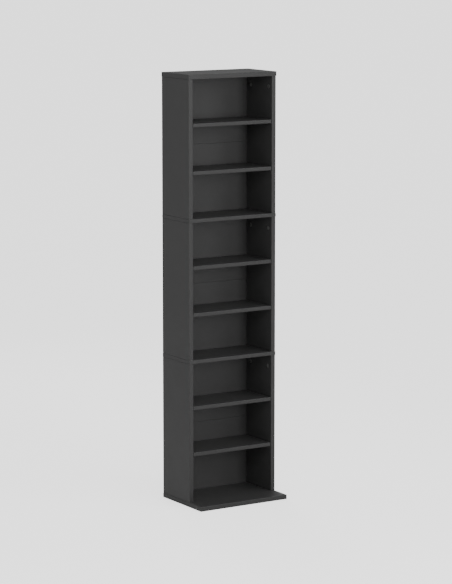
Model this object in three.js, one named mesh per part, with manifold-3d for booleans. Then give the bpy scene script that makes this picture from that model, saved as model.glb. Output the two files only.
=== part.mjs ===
// CD and DVD storage tower: nine open bays in three stacked modules of dark grey melamine board.
// Millimetres, X to the right, the open front towards -Y, Z up.
// The origin is on the floor, in the middle of the base board.

import * as THREE from "three";
import { mergeVertices } from "three/addons/utils/BufferGeometryUtils.js";
import Module from "manifold-3d";

const wasm = await Module();
wasm.setup();

// Whole tower
const BOARD_WIDTH = 330; // top and base board, across the front
const BASE_DEPTH = 240; // the base board reaches forward as a foot
const PANEL_DEPTH = 168; // side panels, front to rear
const MODULE_HEIGHT = 445; // clear height between the boards of the two upper modules
const LOWER_MODULE_HEIGHT = 456; // the lowest bay is a little taller than the others
const SHELVES_PER_MODULE = 2;
const SIDE_OVERHANG = 0.5; // top and base board past each side panel
const FRONT_OVERHANG = 2; // top and middle boards past the front of the side panels

// Board stock
const PANEL_THICKNESS = 15;
const TOP_THICKNESS = 15;
const BASE_THICKNESS = 15;
const MIDDLE_THICKNESS = 12;
const SHELF_THICKNESS = 12;
const EDGE_RADIUS = 1; // eased edge of the banding, all round each board
const EDGE_STEPS = 2;
const JOINT_GAP = 0.2; // hairline between a panel end and the board it is drawn against

// Loose shelves
const SHELF_END_GAP = 1.5; // to the side panel, at each end
const SHELF_SETBACK = 1; // front edge behind the front of the side panels
const SHELF_BACK_GAP = 1; // rear edge to the back panel
const SHELF_SEAT_GAP = 0.2; // underside to the ledge of the pins

// Back panels: thin fibreboard in grooves, folded once for packing
const BACK_THICKNESS = 3;
const BACK_CLEARANCE = 0.3; // play on each face of the back panel in its groove
const BACK_REAR_STRIP = 13; // wood left behind the groove in a side panel
const PANEL_GROOVE_DEPTH = 5;
const BOARD_GROOVE_DEPTH = 4;
const BACK_END_GAP = 0.5; // edge of the back panel to the bottom of a groove
const FOLD_LINE_WIDTH = 0.9; // on the front face
const FOLD_LINE_DEPTH = 0.5;
const FOLD_CUT_WIDTH = 2; // on the rear face
const FOLD_CUT_DEPTH = 2;

// Fastener rows, the same in every side panel
const FRONT_FIXING_INSET = 22; // from the front edge of the panel
const REAR_FIXING_INSET = 42; // from its rear edge
const FASTENER_CLEARANCE = 0.3; // round every bolt, cam and screw
const FASTENER_SIDES = 12;

// Cam locks: a cam in the inner face of a panel grips the head of a bolt that comes down the end
const CAM_BORE_DIAMETER = 15;
const CAM_LENGTH = 12;
const CAM_RECESS = 0.2; // face of the cam below the face of the panel
const CAM_SIDES = 20;
const SHORT_BOLT_DROP = 34; // centre of the cam below the top board
const LONG_BOLT_DROP = 39; // centre of the cam below a middle board
const CHAMBER_RADIUS = 4.2;
const CHAMBER_WIDTH = 7.2; // along the axis of the cam
const CHAMBER_SIDES = 8;
const CHAMBER_OFFSET = 1.2; // its centre lies below the centre of the cam, so that the jaws pull
const NECK_SLOT_WIDTH = 4.8;
const CAM_BITE = 0.1; // how far the jaws press into the head of the bolt
const CROSS_LENGTH = 8; // cross recess for the screwdriver
const CROSS_WIDTH = 1.6;
const CROSS_DEPTH = 1.8;

// Bolts of the cam locks
const BOLT_HEAD_RADIUS = 3.1;
const BOLT_HEAD_HEIGHT = 3;
const BOLT_NECK_RADIUS = 1.9;
const BOLT_NECK_LENGTH = 6;
const BOLT_SHANK_RADIUS = 3.4;
const BOLT_THREAD_RADIUS = 2.8;
const BOLT_TAPER = 1.5; // length of each cone along the bolt
const TOP_THREAD_LENGTH = 10; // up into the top board
const PANEL_THREAD_LENGTH = 22; // up into the bottom end of the side panel above
const THREAD_END_GAP = 0.6; // tip of a thread to the bottom of its hole

// Countersunk screws up through the base board
const SCREW_LENGTH = 50;
const SCREW_HEAD_RADIUS = 5;
const SCREW_HEAD_RIM = 0.8;
const SCREW_HEAD_CONE = 2.6;
const SCREW_HEAD_RECESS = 0.5; // head above the underside of the base board
const SCREW_SHANK_RADIUS = 3.4;
const SCREW_THREAD_RADIUS = 2.8;
const SCREW_TAPER = 1.5;
const SCREW_TIP = 4;
const SCREW_SOCKET_RADIUS = 2.3; // to its corners
const SCREW_SOCKET_SIDES = 6;
const SCREW_SOCKET_DEPTH = 2.6;

// Shelf pins: a round stem in the panel, a collar against it and a ledge with a rib under it
const PIN_FRONT_INSET = 37; // from the front edge of the panel
const PIN_REAR_INSET = 50; // from its rear edge
const PIN_STEM_RADIUS = 2.5;
const PIN_STEM_LENGTH = 8;
const PIN_STEM_CLEARANCE = 0.25;
const PIN_STEM_END_GAP = 0.5;
const PIN_COLLAR_RADIUS = 4.5;
const PIN_COLLAR_THICKNESS = 1.2;
const PIN_LEDGE_REACH = 8.5; // from the face of the panel
const PIN_LEDGE_WIDTH = 9;
const PIN_LEDGE_THICKNESS = 2;
const PIN_LEDGE_CORNER = 3;
const PIN_LEDGE_RISE = 1.6; // top of the ledge above the axis of the stem
const PIN_RIB_THICKNESS = 1.8;
const PIN_RIB_DROP = 5; // from the top of the ledge to the foot of the rib
const PIN_RIB_SHARE = 0.8; // of the ledge's reach
const PIN_SIDES = 8;
const CORNER_STEPS = 2;

// How far a cutting shape runs out of the piece it cuts
const OVERRUN = 1;

// Sizes that follow from the ones above
const CARCASS_WIDTH = BOARD_WIDTH - 2 * SIDE_OVERHANG;
const INNER_WIDTH = CARCASS_WIDTH - 2 * PANEL_THICKNESS;
const PANEL_X = (CARCASS_WIDTH - PANEL_THICKNESS) / 2;
const REAR_Y = BASE_DEPTH / 2;
const FRONT_Y = REAR_Y - PANEL_DEPTH;
const FIXING_ROWS = [
  { place: "front", inset: FRONT_FIXING_INSET },
  { place: "rear", inset: PANEL_DEPTH - REAR_FIXING_INSET },
];
const PIN_ROWS = [
  { place: "front", inset: PIN_FRONT_INSET },
  { place: "rear", inset: PANEL_DEPTH - PIN_REAR_INSET },
];
const SIDES = [
  { place: "left", sign: -1 },
  { place: "right", sign: 1 },
];
const GROOVE_WIDTH = BACK_THICKNESS + 2 * BACK_CLEARANCE;
const GROOVE_INSET = PANEL_DEPTH - BACK_REAR_STRIP - GROOVE_WIDTH;
const GROOVE_SPAN = INNER_WIDTH + 2 * PANEL_GROOVE_DEPTH;
const BACK_WIDTH = GROOVE_SPAN - 2 * BACK_END_GAP;
const BACK_INSET = GROOVE_INSET + BACK_CLEARANCE;
const SHELF_WIDTH = INNER_WIDTH - 2 * SHELF_END_GAP;
const SHELF_DEPTH = BACK_INSET - SHELF_SETBACK - SHELF_BACK_GAP;
const BAY_HEIGHT =
  (MODULE_HEIGHT - SHELVES_PER_MODULE * SHELF_THICKNESS) / (SHELVES_PER_MODULE + 1);
const BOLT_BORE_RADIUS = BOLT_SHANK_RADIUS + FASTENER_CLEARANCE;
const BOLT_THREAD_BORE_RADIUS = BOLT_THREAD_RADIUS + FASTENER_CLEARANCE;
const SCREW_THREAD_BORE_RADIUS = SCREW_THREAD_RADIUS + FASTENER_CLEARANCE;
const CAM_FACE_X = PANEL_THICKNESS / 2 - CAM_RECESS;

// Finishes
const melamine = new THREE.MeshStandardMaterial({
  color: 0x444444,
  roughness: 0.5,
  metalness: 0,
});
const fibreboard = new THREE.MeshStandardMaterial({
  color: 0x3c3c3c,
  roughness: 0.55,
  metalness: 0,
});
const zinc = new THREE.MeshStandardMaterial({
  color: 0x9a9b9c,
  roughness: 0.4,
  metalness: 0.9,
});
const steel = new THREE.MeshStandardMaterial({
  color: 0x8a8a86,
  roughness: 0.35,
  metalness: 1,
});
const plastic = new THREE.MeshStandardMaterial({
  color: 0x1b1b1c,
  roughness: 0.5,
  metalness: 0,
});

// Axes of a piece that is drawn lying down: its drawn X, Y and Z become Y, Z and X
const ON_EDGE = new THREE.Matrix4().makeBasis(
  new THREE.Vector3(0, 1, 0),
  new THREE.Vector3(0, 0, 1),
  new THREE.Vector3(1, 0, 0),
);

// A three.js geometry as a solid that can be joined and cut
function solidOf(geometry) {
  const bare = geometry.clone();
  bare.deleteAttribute("normal");
  bare.deleteAttribute("uv");
  const merged = mergeVertices(bare);
  const vertProperties = new Float32Array(merged.attributes.position.array);
  const triVerts = new Uint32Array(merged.index.array);
  return new wasm.Manifold(new wasm.Mesh({ numProp: 3, vertProperties, triVerts }));
}

// A solid as a named mesh
function meshOf(name, solid, material) {
  const made = solid.getMesh();
  const geometry = new THREE.BufferGeometry();
  geometry.setAttribute("position", new THREE.BufferAttribute(made.vertProperties, 3));
  geometry.setIndex(new THREE.BufferAttribute(made.triVerts, 1));
  geometry.computeVertexNormals();
  const mesh = new THREE.Mesh(geometry, material);
  mesh.name = name;
  return mesh;
}

// A board with eased edges, lying flat, centred on X, from y = 0 back and from z = 0 up
function easedBoard(width, depth, thickness) {
  const outline = new THREE.Shape();
  outline.moveTo(-width / 2, 0);
  outline.lineTo(width / 2, 0);
  outline.lineTo(width / 2, depth);
  outline.lineTo(-width / 2, depth);
  const board = new THREE.ExtrudeGeometry(outline, {
    depth: thickness - 2 * EDGE_RADIUS,
    bevelThickness: EDGE_RADIUS,
    bevelSize: EDGE_RADIUS,
    bevelOffset: -EDGE_RADIUS,
    bevelSegments: EDGE_STEPS,
  });
  return board.translate(0, 0, EDGE_RADIUS);
}

// A block for straight cuts, from its lowest to its highest corner
function block(low, high) {
  const size = new THREE.Vector3(high[0] - low[0], high[1] - low[1], high[2] - low[2]);
  const middle = new THREE.Vector3(high[0] + low[0], high[1] + low[1], high[2] + low[2]);
  const box = new THREE.BoxGeometry(size.x, size.y, size.z);
  return solidOf(box.translate(middle.x / 2, middle.y / 2, middle.z / 2));
}

// An upright round bar from one height to another
function uprightRod(radius, bottom, top, x, y, sides) {
  const rod = new THREE.CylinderGeometry(radius, radius, top - bottom, sides);
  rod.rotateX(Math.PI / 2);
  return solidOf(rod.translate(x, y, (bottom + top) / 2));
}

// A round bar along X from one place to another
function levelRod(radius, start, end, y, z, sides) {
  const rod = new THREE.CylinderGeometry(radius, radius, end - start, sides);
  rod.rotateZ(Math.PI / 2);
  return solidOf(rod.translate((start + end) / 2, y, z));
}

// A turned piece, its profile given as pairs of radius and height
function turned(profile, sides) {
  const points = profile.map(([radius, height]) => new THREE.Vector2(radius, height));
  const lathe = new THREE.LatheGeometry(points, sides);
  return solidOf(lathe.rotateX(Math.PI / 2));
}

// The groove that a back panel stands in, stopped short of both ends of a board
function boardGroove(bottom, top, inset) {
  return block(
    [-GROOVE_SPAN / 2, inset, bottom],
    [GROOVE_SPAN / 2, inset + GROOVE_WIDTH, top],
  );
}

// Top board, its front edge towards y = 0: four threaded holes and a groove in the underside
function topBoard() {
  const depth = PANEL_DEPTH + FRONT_OVERHANG;
  let board = solidOf(easedBoard(BOARD_WIDTH, depth, TOP_THICKNESS));
  const hole = TOP_THREAD_LENGTH + THREAD_END_GAP;
  for (const side of SIDES) {
    for (const row of FIXING_ROWS) {
      const y = FRONT_OVERHANG + row.inset;
      const x = side.sign * PANEL_X;
      const bore = uprightRod(BOLT_THREAD_BORE_RADIUS, -OVERRUN, hole, x, y, FASTENER_SIDES);
      board = board.subtract(bore);
    }
  }
  return board.subtract(
    boardGroove(-OVERRUN, BOARD_GROOVE_DEPTH, FRONT_OVERHANG + GROOVE_INSET),
  );
}

// Middle board: four through holes for the long bolts and a groove in each face
function middleBoard() {
  const depth = PANEL_DEPTH + FRONT_OVERHANG;
  const top = MIDDLE_THICKNESS + OVERRUN;
  let board = solidOf(easedBoard(CARCASS_WIDTH, depth, MIDDLE_THICKNESS));
  for (const side of SIDES) {
    for (const row of FIXING_ROWS) {
      const y = FRONT_OVERHANG + row.inset;
      const x = side.sign * PANEL_X;
      board = board.subtract(uprightRod(BOLT_BORE_RADIUS, -OVERRUN, top, x, y, FASTENER_SIDES));
    }
  }
  const inset = FRONT_OVERHANG + GROOVE_INSET;
  board = board.subtract(boardGroove(-OVERRUN, BOARD_GROOVE_DEPTH, inset));
  return board.subtract(boardGroove(MIDDLE_THICKNESS - BOARD_GROOVE_DEPTH, top, inset));
}

// Outline of the countersunk screw and, with a clearance, of the hole it goes in
function screwProfile(clearance, top) {
  const head = SCREW_HEAD_RADIUS + clearance;
  const shank = SCREW_SHANK_RADIUS + clearance;
  const rim = SCREW_HEAD_RECESS + SCREW_HEAD_RIM + clearance;
  return [
    [head, rim],
    [shank, rim + SCREW_HEAD_CONE],
    [shank, top],
  ];
}

// Base board: four countersunk holes and a groove in the upper face
function baseBoard() {
  const front = BASE_DEPTH - PANEL_DEPTH;
  const top = BASE_THICKNESS + OVERRUN;
  let board = solidOf(easedBoard(BOARD_WIDTH, BASE_DEPTH, BASE_THICKNESS));
  const profile = screwProfile(FASTENER_CLEARANCE, top);
  const mouth = profile[0][0];
  const hole = turned([[0, -OVERRUN], [mouth, -OVERRUN], ...profile, [0, top]], FASTENER_SIDES);
  for (const side of SIDES) {
    for (const row of FIXING_ROWS) {
      board = board.subtract(hole.translate([side.sign * PANEL_X, front + row.inset, 0]));
    }
  }
  const bottom = BASE_THICKNESS - BOARD_GROOVE_DEPTH;
  return board.subtract(boardGroove(bottom, top, front + GROOVE_INSET));
}

// Height of the underside of a shelf above the floor of its module, counted from the top
function shelfLevel(moduleHeight, count) {
  return moduleHeight - count * (BAY_HEIGHT + SHELF_THICKNESS);
}

// Side panel, upright, x = 0 at the middle of its thickness, its front edge at y = 0, z = 0 at
// the floor of its module; inward is 1 where the bays are towards +X
function sidePanel(module, inward) {
  const length = module.height - 2 * JOINT_GAP;
  const drawn = easedBoard(PANEL_DEPTH, length, PANEL_THICKNESS);
  drawn.translate(PANEL_DEPTH / 2, JOINT_GAP, -PANEL_THICKNESS / 2).applyMatrix4(ON_EDGE);
  let panel = solidOf(drawn);
  const face = inward * (PANEL_THICKNESS / 2);
  const outside = face + inward * OVERRUN;
  const below = -OVERRUN;
  const above = module.height + OVERRUN;

  const span = (reach) => {
    const deep = face - inward * reach;
    return [Math.min(outside, deep), Math.max(outside, deep)];
  };
  const cut = (solid) => {
    panel = panel.subtract(solid);
  };

  const [grooveLow, grooveHigh] = span(PANEL_GROOVE_DEPTH);
  const grooveRear = GROOVE_INSET + GROOVE_WIDTH;
  cut(block([grooveLow, GROOVE_INSET, below], [grooveHigh, grooveRear, above]));

  const [camLow, camHigh] = span(CAM_RECESS + CAM_LENGTH + FASTENER_CLEARANCE);
  const camZ = module.height - module.boltDrop;
  for (const row of FIXING_ROWS) {
    cut(levelRod(CAM_BORE_DIAMETER / 2, camLow, camHigh, row.inset, camZ, CAM_SIDES));
    cut(uprightRod(BOLT_BORE_RADIUS, camZ, above, 0, row.inset, FASTENER_SIDES));
    cut(uprightRod(module.footBore, below, module.footDepth, 0, row.inset, FASTENER_SIDES));
  }

  const [pinLow, pinHigh] = span(PIN_STEM_LENGTH + PIN_STEM_END_GAP);
  const pinBore = PIN_STEM_RADIUS + PIN_STEM_CLEARANCE;
  for (let count = 1; count <= SHELVES_PER_MODULE; count += 1) {
    const pinZ = shelfLevel(module.height, count) - SHELF_SEAT_GAP - PIN_LEDGE_RISE;
    for (const row of PIN_ROWS) {
      cut(levelRod(pinBore, pinLow, pinHigh, row.inset, pinZ, PIN_SIDES));
    }
  }
  return panel;
}

// Back panel, upright, centred on X, its front face at y = 0, z = 0 at the floor of its module:
// a fine line in front and a V cut behind leave the foil that it folds on
function backPanel(moduleHeight) {
  const tongue = BOARD_GROOVE_DEPTH - BACK_END_GAP;
  const bottom = -tongue;
  const top = moduleHeight + tongue;
  const fold = moduleHeight / 2;
  const section = new THREE.Shape();
  section.moveTo(0, bottom);
  section.lineTo(BACK_THICKNESS, bottom);
  section.lineTo(BACK_THICKNESS, fold - FOLD_CUT_WIDTH / 2);
  section.lineTo(BACK_THICKNESS - FOLD_CUT_DEPTH, fold);
  section.lineTo(BACK_THICKNESS, fold + FOLD_CUT_WIDTH / 2);
  section.lineTo(BACK_THICKNESS, top);
  section.lineTo(0, top);
  section.lineTo(0, fold + FOLD_LINE_WIDTH / 2);
  section.lineTo(FOLD_LINE_DEPTH, fold);
  section.lineTo(0, fold - FOLD_LINE_WIDTH / 2);
  const sheet = new THREE.ExtrudeGeometry(section, { depth: BACK_WIDTH, bevelEnabled: false });
  return solidOf(sheet.translate(0, 0, -BACK_WIDTH / 2).applyMatrix4(ON_EDGE));
}

// Cam of a lock, its axis along X and its cross recess towards +X, centred on the bolt: the
// jaws beside the neck slot hold the head of the bolt in the chamber
function camBody() {
  const radius = CAM_BORE_DIAMETER / 2 - FASTENER_CLEARANCE;
  const outer = radius + OVERRUN;
  const back = CAM_FACE_X - CAM_LENGTH;
  const slotSide = -(BOLT_NECK_RADIUS + FASTENER_CLEARANCE);
  const halfSlot = NECK_SLOT_WIDTH / 2;
  const halfChamber = CHAMBER_WIDTH / 2;
  const chamber = levelRod(
    CHAMBER_RADIUS,
    -halfChamber,
    halfChamber,
    0,
    -CHAMBER_OFFSET,
    CHAMBER_SIDES,
  );
  const crossBottom = CAM_FACE_X - CROSS_DEPTH;
  const crossTop = CAM_FACE_X + OVERRUN;
  const arm = CROSS_LENGTH / 2;
  const halfArm = CROSS_WIDTH / 2;
  return levelRod(radius, back, CAM_FACE_X, 0, 0, CAM_SIDES)
    .subtract(chamber)
    .subtract(block([-halfSlot, slotSide, -outer], [halfSlot, outer, outer]))
    .subtract(block([crossBottom, -arm, -halfArm], [crossTop, arm, halfArm]))
    .subtract(block([crossBottom, -halfArm, -arm], [crossTop, halfArm, arm]));
}

// Bolt of a lock, upright, its head in the chamber of the cam and its thread at the top
function boltBody(shankTop, threadTop) {
  const headTop = CHAMBER_RADIUS - CHAMBER_OFFSET + CAM_BITE;
  const neckTop = headTop + BOLT_NECK_LENGTH;
  return turned(
    [
      [0, headTop - BOLT_HEAD_HEIGHT],
      [BOLT_HEAD_RADIUS, headTop - BOLT_HEAD_HEIGHT],
      [BOLT_HEAD_RADIUS, headTop],
      [BOLT_NECK_RADIUS, headTop],
      [BOLT_NECK_RADIUS, neckTop],
      [BOLT_SHANK_RADIUS, neckTop + BOLT_TAPER],
      [BOLT_SHANK_RADIUS, shankTop - BOLT_TAPER],
      [BOLT_THREAD_RADIUS, shankTop],
      [BOLT_THREAD_RADIUS, threadTop - BOLT_TAPER],
      [0, threadTop],
    ],
    FASTENER_SIDES,
  );
}

// Screw, upright, its head at the bottom with a hexagon socket
function screwBody() {
  const head = SCREW_HEAD_RECESS;
  const shankTop = BASE_THICKNESS;
  const profile = screwProfile(0, shankTop - SCREW_TAPER);
  const body = turned(
    [
      [0, head],
      [SCREW_HEAD_RADIUS, head],
      ...profile,
      [SCREW_THREAD_RADIUS, shankTop],
      [SCREW_THREAD_RADIUS, SCREW_LENGTH - SCREW_TIP],
      [0, SCREW_LENGTH],
    ],
    FASTENER_SIDES,
  );
  const socketTop = head + SCREW_SOCKET_DEPTH;
  const socket = uprightRod(SCREW_SOCKET_RADIUS, -OVERRUN, socketTop, 0, 0, SCREW_SOCKET_SIDES);
  return body.subtract(socket);
}

// Shelf pin, its stem along X, x = 0 at the face of the side panel, the ledge towards +X
function pinBody() {
  const stem = levelRod(PIN_STEM_RADIUS, -PIN_STEM_LENGTH, 0, 0, 0, PIN_SIDES);
  const collar = levelRod(PIN_COLLAR_RADIUS, 0, PIN_COLLAR_THICKNESS, 0, 0, PIN_SIDES);

  const half = PIN_LEDGE_WIDTH / 2;
  const plan = new THREE.Shape();
  plan.moveTo(0, -half);
  plan.lineTo(PIN_LEDGE_REACH - PIN_LEDGE_CORNER, -half);
  plan.absarc(
    PIN_LEDGE_REACH - PIN_LEDGE_CORNER,
    PIN_LEDGE_CORNER - half,
    PIN_LEDGE_CORNER,
    -Math.PI / 2,
    0,
  );
  plan.lineTo(PIN_LEDGE_REACH, half - PIN_LEDGE_CORNER);
  plan.absarc(
    PIN_LEDGE_REACH - PIN_LEDGE_CORNER,
    half - PIN_LEDGE_CORNER,
    PIN_LEDGE_CORNER,
    0,
    Math.PI / 2,
  );
  plan.lineTo(0, half);
  const ledge = new THREE.ExtrudeGeometry(plan, {
    depth: PIN_LEDGE_THICKNESS,
    bevelEnabled: false,
    curveSegments: CORNER_STEPS,
  });
  ledge.translate(0, 0, PIN_LEDGE_RISE - PIN_LEDGE_THICKNESS);

  const ribTop = PIN_LEDGE_RISE - PIN_LEDGE_THICKNESS / 2;
  const ribFoot = PIN_LEDGE_RISE - PIN_RIB_DROP;
  const web = new THREE.Shape();
  web.moveTo(0, ribFoot);
  web.lineTo(PIN_COLLAR_THICKNESS, ribFoot);
  web.lineTo(PIN_LEDGE_REACH * PIN_RIB_SHARE, ribTop);
  web.lineTo(0, ribTop);
  const rib = new THREE.ExtrudeGeometry(web, { depth: PIN_RIB_THICKNESS, bevelEnabled: false });
  rib.translate(0, 0, -PIN_RIB_THICKNESS / 2).rotateX(Math.PI / 2);

  return stem.add(collar).add(solidOf(ledge)).add(solidOf(rib));
}

// The tower is put together from the floor up
const tower = new THREE.Group();

const base = meshOf("base_board", baseBoard(), melamine);
base.position.set(0, -REAR_Y, 0);
tower.add(base);

for (const side of SIDES) {
  for (const row of FIXING_ROWS) {
    const screw = meshOf(`base_screw_${side.place}_${row.place}`, screwBody(), steel);
    screw.position.set(side.sign * PANEL_X, FRONT_Y + row.inset, 0);
    tower.add(screw);
  }
}

const MODULES = [
  {
    name: "lower",
    height: LOWER_MODULE_HEIGHT,
    boltDrop: LONG_BOLT_DROP,
    footBore: SCREW_THREAD_BORE_RADIUS,
    footDepth: SCREW_LENGTH - BASE_THICKNESS + THREAD_END_GAP,
    boardAbove: MIDDLE_THICKNESS,
    threadLength: PANEL_THREAD_LENGTH,
  },
  {
    name: "middle",
    height: MODULE_HEIGHT,
    boltDrop: LONG_BOLT_DROP,
    footBore: BOLT_THREAD_BORE_RADIUS,
    footDepth: PANEL_THREAD_LENGTH + THREAD_END_GAP,
    boardAbove: MIDDLE_THICKNESS,
    threadLength: PANEL_THREAD_LENGTH,
  },
  {
    name: "upper",
    height: MODULE_HEIGHT,
    boltDrop: SHORT_BOLT_DROP,
    footBore: BOLT_THREAD_BORE_RADIUS,
    footDepth: PANEL_THREAD_LENGTH + THREAD_END_GAP,
    boardAbove: 0,
    threadLength: TOP_THREAD_LENGTH,
  },
];

let floor = BASE_THICKNESS;
let shelfNumber = MODULES.length * SHELVES_PER_MODULE;
for (const module of MODULES) {
  const stage = new THREE.Group();
  stage.position.set(0, FRONT_Y, floor);
  tower.add(stage);

  for (const side of SIDES) {
    const name = `${module.name}_${side.place}_side`;
    const panel = meshOf(name, sidePanel(module, -side.sign), melamine);
    panel.position.set(side.sign * PANEL_X, 0, 0);
    stage.add(panel);
  }

  const back = meshOf(`${module.name}_back_panel`, backPanel(module.height), fibreboard);
  back.position.set(0, BACK_INSET, 0);
  stage.add(back);

  const shankTop = module.boltDrop + module.boardAbove;
  const lock = camBody().add(boltBody(shankTop, shankTop + module.threadLength));
  for (const side of SIDES) {
    for (const row of FIXING_ROWS) {
      const name = `${module.name}_cam_lock_${side.place}_${row.place}`;
      const cam = meshOf(name, lock, zinc);
      cam.position.set(side.sign * PANEL_X, row.inset, module.height - module.boltDrop);
      cam.rotation.z = side.sign > 0 ? Math.PI : 0;
      stage.add(cam);
    }
  }

  for (let count = SHELVES_PER_MODULE; count >= 1; count -= 1) {
    const level = shelfLevel(module.height, count);
    const board = solidOf(easedBoard(SHELF_WIDTH, SHELF_DEPTH, SHELF_THICKNESS));
    const shelf = meshOf(`shelf_${shelfNumber}`, board, melamine);
    shelf.position.set(0, SHELF_SETBACK, level);
    stage.add(shelf);
    for (const side of SIDES) {
      for (const row of PIN_ROWS) {
        const name = `shelf_${shelfNumber}_pin_${side.place}_${row.place}`;
        const pin = meshOf(name, pinBody(), plastic);
        const pinZ = level - SHELF_SEAT_GAP - PIN_LEDGE_RISE;
        pin.position.set((side.sign * INNER_WIDTH) / 2, row.inset, pinZ);
        pin.rotation.z = side.sign > 0 ? Math.PI : 0;
        stage.add(pin);
      }
    }
    shelfNumber -= 1;
  }

  floor += module.height;
  if (module.boardAbove > 0) {
    const middle = meshOf(`board_above_${module.name}_module`, middleBoard(), melamine);
    middle.position.set(0, FRONT_Y - FRONT_OVERHANG, floor);
    tower.add(middle);
    floor += module.boardAbove;
  }
}

const cover = meshOf("top_board", topBoard(), melamine);
cover.position.set(0, FRONT_Y - FRONT_OVERHANG, floor);
tower.add(cover);

export default tower;
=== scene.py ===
import math

import bmesh
import bpy
from mathutils import Matrix, Vector


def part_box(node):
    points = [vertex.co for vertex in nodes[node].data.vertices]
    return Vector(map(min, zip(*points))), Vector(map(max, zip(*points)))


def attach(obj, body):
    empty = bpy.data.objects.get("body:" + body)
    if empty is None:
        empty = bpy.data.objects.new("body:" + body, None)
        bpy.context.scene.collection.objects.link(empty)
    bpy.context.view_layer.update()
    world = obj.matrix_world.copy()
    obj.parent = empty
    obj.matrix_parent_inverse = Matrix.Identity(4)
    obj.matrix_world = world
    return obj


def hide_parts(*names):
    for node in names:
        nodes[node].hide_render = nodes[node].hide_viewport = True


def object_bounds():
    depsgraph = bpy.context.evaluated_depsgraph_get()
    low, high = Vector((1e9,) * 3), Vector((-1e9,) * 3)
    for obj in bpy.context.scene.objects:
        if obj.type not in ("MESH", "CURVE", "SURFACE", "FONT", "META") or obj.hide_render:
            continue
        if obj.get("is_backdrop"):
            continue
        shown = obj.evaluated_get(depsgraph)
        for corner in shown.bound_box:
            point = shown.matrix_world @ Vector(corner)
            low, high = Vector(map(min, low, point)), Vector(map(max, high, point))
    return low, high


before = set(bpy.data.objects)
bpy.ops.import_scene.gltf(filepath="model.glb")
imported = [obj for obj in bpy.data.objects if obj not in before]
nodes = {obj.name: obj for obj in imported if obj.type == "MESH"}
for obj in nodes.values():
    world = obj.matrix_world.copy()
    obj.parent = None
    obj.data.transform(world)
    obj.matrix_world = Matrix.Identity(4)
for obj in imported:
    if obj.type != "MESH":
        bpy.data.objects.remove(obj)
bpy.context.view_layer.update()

# Base board
# The foot of the tower: 15 mm chipboard, faced above and below with dark grey melamine and
# edged all round with tape. It reaches forward of the shelves, so that the slim tower stands
# firm, and it is screwed to the lower side panels from below.

MM = 0.001


def colour(code):
    """An sRGB colour code as linear red, green, blue and alpha."""
    shares = [int(code[i : i + 2], 16) / 255 for i in (1, 3, 5)]
    linear = [s / 12.92 if s <= 0.04045 else ((s + 0.055) / 1.055) ** 2.4 for s in shares]
    return (*linear, 1.0)


def add(tree, kind, values=None, links=None, **settings):
    """A shader node with its settings, the values of its sockets and the links into them. The
    sockets of a Mix node go by number: 0 the share, 2 and 3 two numbers, 6 and 7 two colours."""
    made = tree.nodes.new(kind)
    for name, value in settings.items():
        setattr(made, name, value)
    for socket, value in (values or {}).items():
        made.inputs[socket].default_value = value
    for socket, source in (links or {}).items():
        tree.links.new(source, made.inputs[socket])
    return made


def blank(name):
    """A new material with nothing in it, and its tree."""
    material = bpy.data.materials.new(name)
    material.use_nodes = True
    material.node_tree.nodes.clear()
    return material, material.node_tree


# Melamine board is paper soaked in resin, pressed on chipboard by an embossed plate. The
# plate leaves a satin face with a fine pearl, about 0.6 mm wide, drawn here at 1.8 mm so that
# it shows. The ends have a tape of the same paper. The tape on the front and rear edges is
# extruded ABS of the same colour, which is smoother and catches the light more. It is drawn
# darker than the paper, which is painted shade on every face that looks forward or back.
PEARL_WIDTH = 1.8 * MM
PEARL_DEPTH = 0.12 * MM
SHEEN_PATCH = 110 * MM  # faint uneven sheen from the press and from handling
PAPER_DARK, PAPER_LIGHT = colour("#424242"), colour("#464646")
# painted shade: the tape is as grey as the paper, and this darker grey shades faces that look
# forward or back
TAPE_PAINTED_SHADE = colour("#333333")
TAPE_ROUGHNESS = 0.4
TAPED, PAPERED = 0.8, 0.6  # how squarely a face looks forward or back, from 0 to 1


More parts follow.
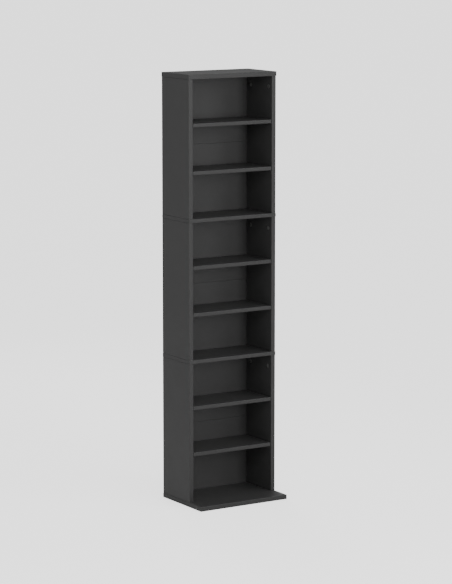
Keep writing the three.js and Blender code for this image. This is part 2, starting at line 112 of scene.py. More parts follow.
def melamine_board():
    """Plastic tape, drawn darker as painted shade, where a board looks forward or back, and
    melamine paper everywhere else.
    """
    material, tree = blank("pressed_melamine_board")
    place = add(tree, "ShaderNodeTexCoord").outputs["Object"]
    normal = add(tree, "ShaderNodeNewGeometry").outputs["Normal"]
    parts = add(tree, "ShaderNodeSeparateXYZ", links={0: normal}).outputs
    squareness = add(
        tree, "ShaderNodeMath", links={0: parts["Y"]}, operation="ABSOLUTE"
    ).outputs[0]
    unshaded_paper_share = add(
        tree,
        "ShaderNodeMapRange",
        {"From Min": TAPED, "From Max": PAPERED},
        {"Value": squareness},
    ).outputs[0]
    patches = add(
        tree,
        "ShaderNodeTexNoise",
        {"Scale": 1 / SHEEN_PATCH, "Detail": 3.0, "Roughness": 0.6},
        {"Vector": place},
    ).outputs["Fac"]
    paper = add(
        tree,
        "ShaderNodeMix",
        {6: PAPER_DARK, 7: PAPER_LIGHT},
        {0: patches},
        data_type="RGBA",
    ).outputs[2]
    # Faces that look forward or back take the darker tape grey, which is painted shade and not a
    # colour of their own
    tint = add(
        tree,
        "ShaderNodeMix",
        {6: TAPE_PAINTED_SHADE},
        {0: unshaded_paper_share, 7: paper},
        data_type="RGBA",
    ).outputs[2]
    paper_roughness = add(
        tree,
        "ShaderNodeMapRange",
        {"From Min": 0.3, "From Max": 0.7, "To Min": 0.46, "To Max": 0.54},
        {"Value": patches},
    ).outputs[0]
    roughness = add(
        tree,
        "ShaderNodeMix",
        {2: TAPE_ROUGHNESS},
        {0: unshaded_paper_share, 3: paper_roughness},
        data_type="FLOAT",
    ).outputs[0]
    pearl = add(
        tree,
        "ShaderNodeTexNoise",
        {"Scale": 1 / PEARL_WIDTH, "Detail": 1.5, "Roughness": 0.5},
        {"Vector": place},
    ).outputs["Fac"]
    relief = add(
        tree, "ShaderNodeMath", links={0: pearl, 1: unshaded_paper_share}, operation="MULTIPLY"
    ).outputs[0]
    bump = add(
        tree,
        "ShaderNodeBump",
        {"Strength": 1.0, "Distance": PEARL_DEPTH},
        {"Height": relief},
    ).outputs[0]
    shader = add(
        tree,
        "ShaderNodeBsdfPrincipled",
        {"IOR": 1.5},
        {"Base Color": tint, "Roughness": roughness, "Normal": bump},
    ).outputs[0]
    add(tree, "ShaderNodeOutputMaterial", links={0: shader})
    return material


melamine = melamine_board()
nodes["base_board"].material_slots[0].material = melamine

# Base screws
# Four long countersunk steel screws, zinc plated, with a hexagon socket. They pass through
# the base board and cut their thread in the bottom ends of the lower side panels.

SIDES = ("left", "right")
ROWS = ("front", "rear")

SHARP_BEND = math.radians(38)  # edges that bend more than this stay crisp
MERGE_DISTANCE = 0.001 * MM
CREST_SHARES = (0.45, 0.6)  # of a turn of a thread, where its crest begins and ends


def turned(outline, sides):
    """A bmesh of a turned solid on the Z axis, from pairs of radius and height."""
    shape = bmesh.new()
    verts = [shape.verts.new((radius, 0.0, height)) for radius, height in outline]
    edges = [shape.edges.new(pair) for pair in zip(verts, verts[1:])]
    bmesh.ops.spin(
        shape,
        geom=verts + edges,
        cent=(0.0, 0.0, 0.0),
        axis=(0.0, 0.0, 1.0),
        angle=2 * math.pi,
        steps=sides,
        use_merge=True,
    )
    bmesh.ops.remove_doubles(shape, verts=shape.verts, dist=MERGE_DISTANCE)
    return shape


def sunk_face(outline, sides, hollows):
    """A turned solid whose first ring is left open, and then closed by a flat face with
    hollows in it. Each hollow is its outline and its depth."""
    shape = turned(outline, sides)
    height = outline[0][1]
    rim = [edge for edge in shape.edges if edge.is_boundary]
    floors = []
    for corners, depth in hollows:
        verts = [shape.verts.new((x, y, height)) for x, y in corners]
        loop = [shape.edges.new(pair) for pair in zip(verts, verts[1:] + verts[:1])]
        rim += loop
        floors.append((loop, depth))
    bmesh.ops.triangle_fill(shape, use_beauty=True, edges=rim, normal=(0.0, 0.0, 1.0))
    for loop, depth in floors:
        walls = bmesh.ops.extrude_edge_only(shape, edges=loop)["geom"]
        low = [item for item in walls if isinstance(item, bmesh.types.BMVert)]
        bmesh.ops.translate(shape, verts=low, vec=(0.0, 0.0, -depth))
        bottom = [
            item
            for item in walls
            if isinstance(item, bmesh.types.BMEdge) and all(v in low for v in item.verts)
        ]
        bmesh.ops.triangle_fill(shape, use_beauty=True, edges=bottom, normal=(0.0, 0.0, 1.0))
    return shape


def thread(start, end, crest, root, pitch):
    """Outline of a thread from one height to another, as pairs of radius and height. Its turns
    are rings, which look the same as a helix at this size."""
    turns = int((end - start) / pitch)
    turn = (end - start) / turns
    outline = []
    for number in range(turns):
        foot = start + number * turn
        outline.append((root, foot))
        outline += [(crest, foot + share * turn) for share in CREST_SHARES]
    return outline


def stand_in(name, shape, place, finish, node):
    """Makes a piece of a bmesh, in place and smooth, that shows instead of a CAD node of the
    carcass."""
    bmesh.ops.recalc_face_normals(shape, faces=shape.faces)
    for face in shape.faces:
        face.smooth = True
    for edge in shape.edges:
        edge.smooth = edge.calc_face_angle(math.pi) < SHARP_BEND
    bmesh.ops.transform(shape, matrix=place, verts=shape.verts)
    mesh = bpy.data.meshes.new(name)
    shape.to_mesh(mesh)
    shape.free()
    mesh.materials.append(finish)
    made = bpy.data.objects.new(name, mesh)
    bpy.context.scene.collection.objects.link(made)
    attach(made, "carcass")
    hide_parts(node)


# Zinc plated steel is bright and slightly blue, a little clouded by the bath, with faint lines
# from drawing and turning. The lines are about 0.1 mm apart, and drawn at 0.5 mm so that they
# show.
PLATING_CLOUD = 2.5 * MM
DRAWN_LINE = 0.5 * MM
DRAWN_DEPTH = 0.02 * MM


def plated_steel():
    material, tree = blank("zinc_plated_steel")
    place = add(tree, "ShaderNodeTexCoord").outputs["Object"]
    cloud = add(
        tree,
        "ShaderNodeTexNoise",
        {"Scale": 1 / PLATING_CLOUD, "Detail": 3.0, "Roughness": 0.6},
        {"Vector": place},
    ).outputs["Fac"]
    lines = add(
        tree,
        "ShaderNodeTexNoise",
        {"Scale": 1 / DRAWN_LINE, "Detail": 1.0, "Roughness": 0.5},
        {"Vector": place},
    ).outputs["Fac"]
    tint = add(
        tree,
        "ShaderNodeMix",
        {6: colour("#A9ABAA"), 7: colour("#C6C8C9")},
        {0: cloud},
        data_type="RGBA",
    ).outputs[2]
    roughness = add(
        tree,
        "ShaderNodeMapRange",
        {"From Min": 0.3, "From Max": 0.7, "To Min": 0.24, "To Max": 0.36},
        {"Value": cloud},
    ).outputs[0]
    bump = add(
        tree,
        "ShaderNodeBump",
        {"Strength": 0.3, "Distance": DRAWN_DEPTH},
        {"Height": lines},
    ).outputs[0]
    shader = add(
        tree,
        "ShaderNodeBsdfPrincipled",
        {"Metallic": 1.0},
        {"Base Color": tint, "Roughness": roughness, "Normal": bump},
    ).outputs[0]
    add(tree, "ShaderNodeOutputMaterial", links={0: shader})
    return material


steel = plated_steel()

# Sizes of a screw. Its length and the radius of its head are the CAD node's
SCREW_SIDES = 32
HEAD_EASE = 0.35 * MM
HEAD_RIM = 0.9 * MM
HEAD_DEPTH = 3.4 * MM  # to the end of the cone
SCREW_SHANK_RADIUS = 3.4 * MM
SCREW_SHANK_END = 13.0 * MM
SCREW_CREST_RADIUS = 2.8 * MM
SCREW_ROOT_RADIUS = 2.2 * MM
SCREW_PITCH = 1.5 * MM
SCREW_TIP_RADIUS = 1.6 * MM
SCREW_TIP_LENGTH = 3.0 * MM
SOCKET_CORNERS = 6
SOCKET_RADIUS = 2.3 * MM  # to its corners
SOCKET_DEPTH = 2.6 * MM
THREAD_START_GAP = 0.5 * MM  # plain length before a thread
THREAD_END_GAP = 1.0 * MM  # and after it


def base_screw(head_radius, length):
    """The screw upside down, its head at height 0 looking up along Z and its tip below."""
    turns = [2 * math.pi * corner / SOCKET_CORNERS for corner in range(SOCKET_CORNERS)]
    hexagon = [(SOCKET_RADIUS * math.cos(a), SOCKET_RADIUS * math.sin(a)) for a in turns]
    tip = length - SCREW_TIP_LENGTH
    cut = thread(
        SCREW_SHANK_END + THREAD_START_GAP,
        tip - THREAD_END_GAP,
        SCREW_CREST_RADIUS,
        SCREW_ROOT_RADIUS,
        SCREW_PITCH,
    )
    outline = [
        (head_radius - HEAD_EASE, 0.0),
        (head_radius, -HEAD_EASE),
        (head_radius, -HEAD_RIM),
        (SCREW_SHANK_RADIUS, -HEAD_DEPTH),
        (SCREW_SHANK_RADIUS, -SCREW_SHANK_END),
    ]
    outline += [(radius, -height) for radius, height in cut]
    outline += [(SCREW_TIP_RADIUS, -tip), (0.0, -length)]
    return sunk_face(outline, SCREW_SIDES, [(hexagon, SOCKET_DEPTH)])


for side in SIDES:
    for row in ROWS:
        node = f"base_screw_{side}_{row}"
        low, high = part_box(node)
        middle = (low + high) / 2
        screw = base_screw((high.x - low.x) / 2, high.z - low.z)
        upside_down = Matrix.Rotation(math.pi, 4, "X")
        place = Matrix.Translation((middle.x, middle.y, low.z)) @ upside_down
        stand_in(f"plated_{node}", screw, place, steel, node)

# Side panels
# Six upright 15 mm melamine boards, a left and a right one for each module, edged like the
# base board. Each stands on the board below and is drawn up against the board above.

MODULES = ("lower", "middle", "upper")
for module in MODULES:
    for side in SIDES:
        nodes[f"{module}_{side}_side"].material_slots[0].material = melamine

# Back panels
# Three sheets of 3 mm fibreboard in grooves, folded once for packing. The front has a dark
# printed foil, and the back is the bare brown board, with its pressed fibres in view.

# The foil is satin and even. The bare back is matt, and mottled by fibres about 1 mm long,
# drawn at 3.5 mm so that they show.
FIBRE_LENGTH = 3.5 * MM
FIBRE_DEPTH = 0.05 * MM
PRINT_PATCH = 90 * MM  # faint unevenness of the print
BARE, FOILED = -0.2, -0.4  # Y of the normal, which is negative on a face that looks forward


def folded_fibreboard():
    """Printed foil where the sheet looks forward, and bare pressed fibres everywhere else."""
    material, tree = blank("foil_faced_fibreboard")
    place = add(tree, "ShaderNodeTexCoord").outputs["Object"]
    normal = add(tree, "ShaderNodeNewGeometry").outputs["Normal"]
    parts = add(tree, "ShaderNodeSeparateXYZ", links={0: normal}).outputs
    foiled = add(
        tree,
        "ShaderNodeMapRange",
        {"From Min": BARE, "From Max": FOILED},
        {"Value": parts["Y"]},
    ).outputs[0]
    patches = add(
        tree,
        "ShaderNodeTexNoise",
        {"Scale": 1 / PRINT_PATCH, "Detail": 3.0, "Roughness": 0.6},
        {"Vector": place},
    ).outputs["Fac"]
    foil = add(
        tree,
        "ShaderNodeMix",
        {6: colour("#3A3A3A"), 7: colour("#3E3E3E")},
        {0: patches},
        data_type="RGBA",
    ).outputs[2]
    fibres = add(
        tree,
        "ShaderNodeTexNoise",
        {"Scale": 1 / FIBRE_LENGTH, "Detail": 6.0, "Roughness": 0.7, "Distortion": 1.2},
        {"Vector": place},
    ).outputs["Fac"]
    spread = add(
        tree,
        "ShaderNodeMapRange",
        {"From Min": 0.35, "From Max": 0.65},
        {"Value": fibres},
    ).outputs[0]
    brown = add(
        tree,
        "ShaderNodeMix",
        {6: colour("#5A4433"), 7: colour("#7A5F47")},
        {0: spread},
        data_type="RGBA",
    ).outputs[2]
    tint = add(
        tree,
        "ShaderNodeMix",
        links={0: foiled, 6: brown, 7: foil},
        data_type="RGBA",
    ).outputs[2]
    roughness = add(
        tree,
        "ShaderNodeMapRange",
        {"To Min": 0.82, "To Max": 0.52},
        {"Value": foiled},
    ).outputs[0]
    bump = add(
        tree,
        "ShaderNodeBump",
        {"Strength": 0.4, "Distance": FIBRE_DEPTH},
        {"Height": fibres},
    ).outputs[0]
    shader = add(
        tree,
        "ShaderNodeBsdfPrincipled",
        {"IOR": 1.48},
        {"Base Color": tint, "Roughness": roughness, "Normal": bump},
    ).outputs[0]
    add(tree, "ShaderNodeOutputMaterial", links={0: shader})
    return material


fibreboard = folded_fibreboard()
for module in MODULES:
    nodes[f"{module}_back_panel"].material_slots[0].material = fibreboard

# Cam locks
# Twelve die-cast zinc cams in the inner faces of the side panels, each with a steel bolt that
# comes down the end of the panel. A quarter turn of the cam draws the bolt's head in.

# Die-cast zinc is dull and pale grey, and faintly grained by the die. The grain is about
# 0.3 mm wide, and drawn at 0.9 mm so that it shows.
CASTING_GRAIN = 0.9 * MM
CASTING_DEPTH = 0.04 * MM


def cast_zinc():
    material, tree = blank("die_cast_zinc")
    place = add(tree, "ShaderNodeTexCoord").outputs["Object"]
    grain = add(
        tree,
        "ShaderNodeTexNoise",
        {"Scale": 1 / CASTING_GRAIN, "Detail": 4.0, "Roughness": 0.6},
        {"Vector": place},
    ).outputs["Fac"]
    tint = add(
        tree,
        "ShaderNodeMix",
        {6: colour("#949594"), 7: colour("#B2B3B1")},
        {0: grain},
        data_type="RGBA",
    ).outputs[2]
    roughness = add(
        tree,
        "ShaderNodeMapRange",
        {"From Min": 0.3, "From Max": 0.7, "To Min": 0.55, "To Max": 0.68},
        {"Value": grain},
    ).outputs[0]
    bump = add(
        tree,
        "ShaderNodeBump",
        {"Strength": 0.4, "Distance": CASTING_DEPTH},
        {"Height": grain},
    ).outputs[0]
    shader = add(
        tree,
        "ShaderNodeBsdfPrincipled",
        {"Metallic": 1.0},
        {"Base Color": tint, "Roughness": roughness, "Normal": bump},
    ).outputs[0]
    add(tree, "ShaderNodeOutputMaterial", links={0: shader})
    return material


zinc = cast_zinc()

# Sizes of a cam. Its radius and length are the CAD node's
CAM_SIDES = 48
CAM_EASE = 0.35 * MM
CROSS_ARM = 4.0 * MM  # from the middle to the end of an arm
CROSS_HALF_WIDTH = 0.8 * MM
CROSS_DEPTH = 1.8 * MM
ARROW_TIP = 6.4 * MM  # from the middle
ARROW_FOOT = 4.9 * MM
ARROW_HALF_WIDTH = 1.0 * MM
ARROW_DEPTH = 0.3 * MM
SLOT_WIDTH = 4.8 * MM  # for the neck of the bolt
JAW_RADIUS = 4.4 * MM  # inside
JAW_START = math.radians(-190)
JAW_SWEEP = math.radians(200)
JAW_STEPS = 28

# Sizes of its bolt. How far it reaches is the CAD node's
BOLT_SIDES = 24
BOLT_HEAD_RADIUS = 3.1 * MM
BOLT_HEAD_START = 0.1 * MM  # from the axis of the cam
BOLT_HEAD_HEIGHT = 3.0 * MM
BOLT_HEAD_EASE = 0.25 * MM
BOLT_NECK_RADIUS = 1.9 * MM
BOLT_NECK_LENGTH = 6.0 * MM
BOLT_TAPER = 1.5 * MM
BOLT_SHANK_RADIUS = 3.4 * MM
BOLT_CREST_RADIUS = 2.8 * MM
BOLT_ROOT_RADIUS = 2.2 * MM
BOLT_PITCH = 1.2 * MM
BOLT_TIP_RADIUS = 1.8 * MM
BOLT_TIP_LENGTH = 0.6 * MM


def join(shape, other):
    """Moves a second bmesh into the first."""
    mesh = bpy.data.meshes.new("joined")
    other.to_mesh(mesh)
    other.free()
    shape.from_mesh(mesh)
    bpy.data.meshes.remove(mesh)


def cam_jaws(radius, slot_bottom, slot_top):
    """The part of a ring on the Z axis that grips the bolt's head, open where it goes in."""
    shape = bmesh.new()
    outline = [
        (JAW_RADIUS, slot_bottom),
        (radius, slot_bottom),
        (radius, slot_top),
        (JAW_RADIUS, slot_top),
    ]
    verts = [shape.verts.new((across, 0.0, height)) for across, height in outline]
    end = shape.faces.new(verts)
    middle = (0.0, 0.0, 0.0)
    to_start = Matrix.Rotation(JAW_START, 3, "Z")
    bmesh.ops.rotate(shape, verts=verts, cent=middle, matrix=to_start)
    bmesh.ops.spin(
        shape,
        geom=[end, *end.edges, *verts],
        cent=middle,
        axis=(0.0, 0.0, 1.0),
        angle=JAW_SWEEP,
        steps=JAW_STEPS,
    )
    return shape


def cam_bolt(foot, reach):
    """The bolt on the Z axis, its head at the bottom, threaded from foot to reach."""
    neck = BOLT_HEAD_START + BOLT_HEAD_HEIGHT
    shank = neck + BOLT_NECK_LENGTH
    tip = reach - BOLT_TIP_LENGTH
    outline = [
        (0.0, BOLT_HEAD_START),
        (BOLT_HEAD_RADIUS - BOLT_HEAD_EASE, BOLT_HEAD_START),
        (BOLT_HEAD_RADIUS, BOLT_HEAD_START + BOLT_HEAD_EASE),
        (BOLT_HEAD_RADIUS, neck),
        (BOLT_NECK_RADIUS, neck),
        (BOLT_NECK_RADIUS, shank),
        (BOLT_SHANK_RADIUS, shank + BOLT_TAPER),
        (BOLT_SHANK_RADIUS, foot - BOLT_TAPER),
    ]
    outline += thread(
        foot - BOLT_TAPER + THREAD_START_GAP,
        tip - THREAD_END_GAP,
        BOLT_CREST_RADIUS,
        BOLT_ROOT_RADIUS,
        BOLT_PITCH,
    )
    outline += [(BOLT_TIP_RADIUS, tip), (0.0, reach)]
    return turned(outline, BOLT_SIDES)


def cam_lock(radius, length, depth, foot, reach):
    """The cam with its face at height 0 looking up along Z, and its bolt along Y, whose axis
    lies at a depth below that face. Foot and reach are where the bolt's thread begins and
    ends, from the cam's axis."""
    quarter = [
        (CROSS_ARM, CROSS_HALF_WIDTH),
        (CROSS_HALF_WIDTH, CROSS_HALF_WIDTH),
        (CROSS_HALF_WIDTH, CROSS_ARM),
    ]
    cross = []
    for _ in range(4):
        cross += quarter
        quarter = [(-y, x) for x, y in quarter]
    arrow = [(0.0, ARROW_TIP), (-ARROW_HALF_WIDTH, ARROW_FOOT), (ARROW_HALF_WIDTH, ARROW_FOOT)]
    slot_top = SLOT_WIDTH / 2 - depth
    slot_bottom = -SLOT_WIDTH / 2 - depth
    front = [
        (radius - CAM_EASE, 0.0),
        (radius, -CAM_EASE),
        (radius, slot_top),
        (0.0, slot_top),
    ]
    back = [
        (0.0, slot_bottom),
        (radius, slot_bottom),
        (radius, CAM_EASE - length),
        (radius - CAM_EASE, -length),
        (0.0, -length),
    ]
    shape = sunk_face(front, CAM_SIDES, [(cross, CROSS_DEPTH), (arrow, ARROW_DEPTH)])
    join(shape, turned(back, CAM_SIDES))
    join(shape, cam_jaws(radius, slot_bottom, slot_top))
    bolt = cam_bolt(foot, reach)
    along_panel = Matrix.Rotation(-math.pi / 2, 4, "X")
    below_face = Matrix.Translation((0.0, 0.0, -depth))
    bmesh.ops.transform(bolt, matrix=below_face @ along_panel, verts=bolt.verts)
    join(shape, bolt)
    return shape


# How a fastener is turned: its Z looks out of the inner face of a left or a right panel, and
# its Y looks up
INWARD = {
    "left": Matrix(((0, 0, 1, 0), (1, 0, 0, 0), (0, 1, 0, 0), (0, 0, 0, 1))),
    "right": Matrix(((0, 0, -1, 0), (-1, 0, 0, 0), (0, 1, 0, 0), (0, 0, 0, 1))),
}
# A thread begins at the top of a middle board, or at the underside of the top board
thread_level = {
    "lower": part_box("board_above_lower_module")[1].z,
    "middle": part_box("board_above_middle_module")[1].z,
    "upper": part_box("top_board")[0].z,
}
for module in MODULES:
    for side in SIDES:
        panel_low, panel_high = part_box(f"{module}_{side}_side")
        panel_middle = (panel_low.x + panel_high.x) / 2
        for row in ROWS:
            node = f"{module}_cam_lock_{side}_{row}"
            low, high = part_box(node)
            radius = (high.y - low.y) / 2
            face = high.x if side == "left" else low.x
            centre = Vector((face, low.y + radius, low.z + radius))
            lock = cam_lock(
                radius,
                high.x - low.x,
                abs(panel_middle - face),
                thread_level[module] - centre.z,
                high.z - centre.z,
            )
            place = Matrix.Translation(centre) @ INWARD[side]
            stand_in(f"zinc_{node}", lock, place, zinc, node)

# Shelf pins
# Twenty-four black moulded plastic pins, four under each shelf. A round stem is pushed into
# the side panel up to its collar, and a ribbed ledge carries the shelf.

# Nylon from a spark-eroded mould is matt, with an even grain about 0.1 mm wide, drawn at
# 0.4 mm so that it shows.
MOULD_GRAIN = 0.4 * MM
MOULD_DEPTH = 0.03 * MM


def moulded_plastic():
    material, tree = blank("black_moulded_nylon")
    place = add(tree, "ShaderNodeTexCoord").outputs["Object"]
    grain = add(
        tree,
        "ShaderNodeTexNoise",
        {"Scale": 1 / MOULD_GRAIN, "Detail": 2.0, "Roughness": 0.5},
        {"Vector": place},
    ).outputs["Fac"]
    tint = add(
        tree,
        "ShaderNodeMix",
        {6: colour("#1A1A1B"), 7: colour("#232324")},
        {0: grain},
        data_type="RGBA",
    ).outputs[2]
    bump = add(
        tree,
        "ShaderNodeBump",
        {"Strength": 0.5, "Distance": MOULD_DEPTH},
        {"Height": grain},
    ).outputs[0]
    shader = add(
        tree,
        "ShaderNodeBsdfPrincipled",
        {"Roughness": 0.46, "IOR": 1.53},
        {"Base Color": tint, "Normal": bump},
    ).outputs[0]
    add(tree, "ShaderNodeOutputMaterial", links={0: shader})
    return material


nylon = moulded_plastic()

# Sizes of a pin. Its width, the length of its stem and the reach of its ledge are the CAD
# node's, and its ledge lies just under the shelf
PIN_SIDES = 32
STEM_RADIUS = 2.5 * MM
STEM_TIP = 0.6 * MM  # the chamfer that leads it in
COLLAR_THICKNESS = 1.2 * MM
COLLAR_EASE = 0.3 * MM
LEDGE_THICKNESS = 2.0 * MM
LEDGE_CORNER = 3.0 * MM
LEDGE_CORNER_STEPS = 6
LEDGE_EASE = 0.3 * MM
LEDGE_EASE_STEPS = 2
LEDGE_RIM_BEND = math.radians(60)  # edges that bend more than this are eased
LEDGE_ROOT = 0.5 * MM  # where it starts, inside the collar
RIB_THICKNESS = 1.8 * MM
RIB_ROOT = 1.0 * MM  # where it starts, inside the collar
RIB_DROP = 3.4 * MM  # its foot, below the axis of the stem
RIB_TOE = 0.2 * MM
RIB_REACH_SHARE = 0.8  # of the ledge's reach
SHELF_PLAY = 0.2 * MM  # between a shelf and its pins


def pin_ledge(width, rise, reach):
    """The plate that carries the shelf, its flat top towards Y at the height of rise, and its
    free corners rounded."""
    shape = bmesh.new()
    plate = bmesh.ops.create_cube(shape, size=1.0)["verts"]
    middle = Vector((0.0, rise - LEDGE_THICKNESS / 2, (reach + LEDGE_ROOT) / 2))
    bmesh.ops.scale(shape, vec=(width, LEDGE_THICKNESS, reach - LEDGE_ROOT), verts=plate)
    bmesh.ops.translate(shape, vec=middle, verts=plate)
    corners = [
        edge
        for edge in shape.edges
        if all(v.co.z > middle.z for v in edge.verts)
        and edge.verts[0].co.x * edge.verts[1].co.x > 0
    ]
    bmesh.ops.bevel(
        shape,
        geom=corners,
        offset=LEDGE_CORNER,
        segments=LEDGE_CORNER_STEPS,
        profile=0.5,
        affect="EDGES",
        material=-1,
    )
    rims = [edge for edge in shape.edges if edge.calc_face_angle(0.0) > LEDGE_RIM_BEND]
    bmesh.ops.bevel(
        shape,
        geom=rims,
        offset=LEDGE_EASE,
        segments=LEDGE_EASE_STEPS,
        profile=0.5,
        affect="EDGES",
        material=-1,
    )
    return shape


def pin_rib(top, reach):
    """The web under the ledge, from the collar out to a share of the ledge's reach."""
    shape = bmesh.new()
    outline = [
        (-RIB_DROP, RIB_ROOT),
        (-RIB_DROP, RIB_ROOT + RIB_TOE),
        (top, RIB_REACH_SHARE * reach),
        (top, RIB_ROOT),
    ]
    verts = [shape.verts.new((-RIB_THICKNESS / 2, y, z)) for y, z in outline]
    web = shape.faces.new(verts)
    grown = bmesh.ops.extrude_face_region(shape, geom=[web])["geom"]
    grown = [item for item in grown if isinstance(item, bmesh.types.BMVert)]
    bmesh.ops.translate(shape, vec=(RIB_THICKNESS, 0.0, 0.0), verts=grown)
    return shape


def shelf_pin(width, stem, rise, reach):
    """The pin with its stem along Z below height 0, and its ledge above, whose top lies at the
    height of rise along Y."""
    collar = width / 2
    outline = [
        (0.0, -stem),
        (STEM_RADIUS - STEM_TIP, -stem),
        (STEM_RADIUS, STEM_TIP - stem),
        (STEM_RADIUS, 0.0),
        (collar - COLLAR_EASE, 0.0),
        (collar, COLLAR_EASE),
        (collar, COLLAR_THICKNESS - COLLAR_EASE),
        (collar - COLLAR_EASE, COLLAR_THICKNESS),
        (0.0, COLLAR_THICKNESS),
    ]
    shape = turned(outline, PIN_SIDES)
    join(shape, pin_ledge(width, rise, reach))
    join(shape, pin_rib(rise - LEDGE_THICKNESS / 2, reach))
    return shape


SHELVES = range(1, 7)
panel_face = {
    "left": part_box("lower_left_side")[1].x,
    "right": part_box("lower_right_side")[0].x,
}
for number in SHELVES:
    ledge_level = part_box(f"shelf_{number}")[0].z - SHELF_PLAY
    for side in SIDES:
        for row in ROWS:
            node = f"shelf_{number}_pin_{side}_{row}"
            low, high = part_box(node)
            face = panel_face[side]
            centre = Vector((face, (low.y + high.y) / 2, (low.z + high.z) / 2))
            outside, inside = face - low.x, high.x - face
            if side == "right":
                outside, inside = inside, outside
            pin = shelf_pin(high.y - low.y, outside, ledge_level - centre.z, inside)
            place = Matrix.Translation(centre) @ INWARD[side]
            stand_in(f"nylon_{node}", pin, place, nylon, node)

# Shelves
# Six loose 12 mm melamine boards, two in each module. They lie on the pins with a little play
# at both ends, and pull out forwards or lift out.

for number in SHELVES:
    nodes[f"shelf_{number}"].material_slots[0].material = melamine

# Middle boards and top board
# Two fixed 12 mm boards part the modules and reach out to the outer faces of the side panels,
# and a 15 mm board covers the tower. All three stand 2 mm proud of the panels in front.

for node in ("board_above_lower_module", "board_above_middle_module", "top_board"):
    nodes[node].material_slots[0].material = melamine

# Floor, light and camera
# A plain pale floor and soft studio light: a large soft box in front, a weaker one high on
# either side of it, a weak one low behind the tower, and a pale room all round.

ROOM_LIGHT = 0.446  # evenly from all sides
PALE_GLOW = 1.6  # only the camera sees it, on the floor and behind the tower
FRONT_AIM = 0.9  # height on the tower's axis that the light in front looks at
TOWER_AIM = 0.8  # and the others
FRONT_SIZE = (1.4, 1.4)
REAR_SIZE = (1.2, 1.0)


def soft_box(name, place, aim_height, size, power, spread=180.0):
    """A square or oblong light that looks at the tower's axis, its spread in degrees."""
    lamp = bpy.data.lights.new(name, "AREA")
    lamp.shape = "RECTANGLE"
    lamp.size, lamp.size_y = size
    lamp.energy = power
    lamp.spread = math.radians(spread)
    made = bpy.data.objects.new(name, lamp)
    made.location = place
    way = Vector((0.0, 0.0, aim_height)) - Vector(place)
    made.rotation_euler = way.to_track_quat("-Z", "Y").to_euler()
    bpy.context.scene.collection.objects.link(made)


soft_box("front_soft_box", (0.4, -4.0, 1.4), FRONT_AIM, FRONT_SIZE, power=52.0)
soft_box("high_left_soft_box", (-2.4, -3.4, 2.8), TOWER_AIM, FRONT_SIZE, power=28.0)
soft_box("high_right_soft_box", (2.4, -3.2, 2.6), TOWER_AIM, FRONT_SIZE, power=30.0)
soft_box("rear_soft_box", (1.2, 4.2, 1.0), TOWER_AIM, REAR_SIZE, power=8.0, spread=50.0)

room = bpy.data.worlds.new("pale_room")
room.use_nodes = True
tree = room.node_tree
tree.nodes.clear()
white = colour("#FFFFFF")
lit = add(tree, "ShaderNodeBackground", {"Color": white, "Strength": ROOM_LIGHT}).outputs[0]
seen = add(
    tree, "ShaderNodeBackground", {"Color": white, "Strength": PALE_GLOW + ROOM_LIGHT}
).outputs[0]
to_camera = add(tree, "ShaderNodeLightPath").outputs["Is Camera Ray"]
shown = add(tree, "ShaderNodeMixShader", links={0: to_camera, 1: lit, 2: seen}).outputs[0]
add(tree, "ShaderNodeOutputWorld", links={0: shown})
bpy.context.scene.world = room

# White studio paper has a barely visible mottle. The camera sees it paler than the light on
# it, as on an overexposed white ground, and it lights the tower as paper does. It is clear
# from below, so that the underside of the tower can be looked at.
PAPER_MOTTLE = 500 * MM


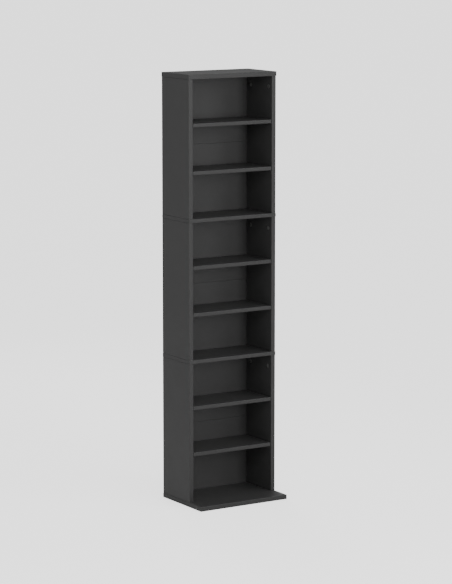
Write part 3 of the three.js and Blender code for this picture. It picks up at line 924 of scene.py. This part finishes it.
def pale_floor():
    material, tree = blank("pale_studio_floor")
    place = add(tree, "ShaderNodeTexCoord").outputs["Object"]
    mottle = add(
        tree,
        "ShaderNodeTexNoise",
        {"Scale": 1 / PAPER_MOTTLE, "Detail": 2.0, "Roughness": 0.5},
        {"Vector": place},
    ).outputs["Fac"]
    tint = add(
        tree,
        "ShaderNodeMix",
        {6: colour("#F4F4F4"), 7: colour("#F7F7F7")},
        {0: mottle},
        data_type="RGBA",
    ).outputs[2]
    paper = add(
        tree,
        "ShaderNodeBsdfPrincipled",
        {"Roughness": 0.9, "IOR": 1.4},
        {"Base Color": tint},
    ).outputs[0]
    glow = add(tree, "ShaderNodeEmission", {"Color": white, "Strength": PALE_GLOW}).outputs[0]
    to_camera = add(tree, "ShaderNodeLightPath").outputs["Is Camera Ray"]
    veil = add(tree, "ShaderNodeMixShader", links={0: to_camera, 2: glow}).outputs[0]
    pale = add(tree, "ShaderNodeAddShader", links={0: paper, 1: veil}).outputs[0]
    clear = add(tree, "ShaderNodeBsdfTransparent").outputs[0]
    from_below = add(tree, "ShaderNodeNewGeometry").outputs["Backfacing"]
    shader = add(
        tree, "ShaderNodeMixShader", links={0: from_below, 1: pale, 2: clear}
    ).outputs[0]
    add(tree, "ShaderNodeOutputMaterial", links={0: shader})
    return material


# The floor is left out under the base board, which covers the gap, so light gets there too
OPENING_SHARE = 0.98  # of the base board
FLOOR_SPREAD = 400.0  # times the opening
FLOOR_DROP = 0.3 * MM  # the base board never quite touches all over
low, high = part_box("base_board")
sheet = bmesh.new()
bmesh.ops.create_grid(
    sheet,
    x_segments=1,
    y_segments=1,
    size=OPENING_SHARE / 2,
    matrix=Matrix.Translation((0.0, 0.0, -FLOOR_DROP)),
)
bmesh.ops.scale(sheet, vec=(high.x - low.x, high.y - low.y, 1.0), verts=sheet.verts)
covered = list(sheet.faces)
grown = bmesh.ops.extrude_edge_only(sheet, edges=sheet.edges)["geom"]
grown = [item for item in grown if isinstance(item, bmesh.types.BMVert)]
bmesh.ops.scale(sheet, vec=(FLOOR_SPREAD, FLOOR_SPREAD, 1.0), verts=grown)
bmesh.ops.delete(sheet, geom=covered, context="FACES")
for face in sheet.faces:
    if face.normal.z < 0:
        face.normal_flip()
floor_mesh = bpy.data.meshes.new("studio_floor")
sheet.to_mesh(floor_mesh)
sheet.free()
floor_mesh.materials.append(pale_floor())
floor = bpy.data.objects.new("studio_floor", floor_mesh)
bpy.context.scene.collection.objects.link(floor)
floor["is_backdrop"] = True

# The photograph looks from the left of the open front and from a little above the top board
CAMERA_PLACE = (-4.138, -6.627, 1.914)
CAMERA_TURN = 32.009  # degrees to the right of straight on
CAMERA_TILT = 8.927  # degrees down
LENS_LENGTH = 150.0
SENSOR_WIDTH = 36.0
FARTHEST_SEEN = 300.0

lens = bpy.data.cameras.new("camera")
lens.lens = LENS_LENGTH
lens.sensor_width = SENSOR_WIDTH
lens.clip_end = FARTHEST_SEEN
camera = bpy.data.objects.new("camera", lens)
camera.location = CAMERA_PLACE
camera.rotation_euler = (math.radians(90 - CAMERA_TILT), 0.0, math.radians(-CAMERA_TURN))
bpy.context.scene.collection.objects.link(camera)
bpy.context.scene.camera = camera

low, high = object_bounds()
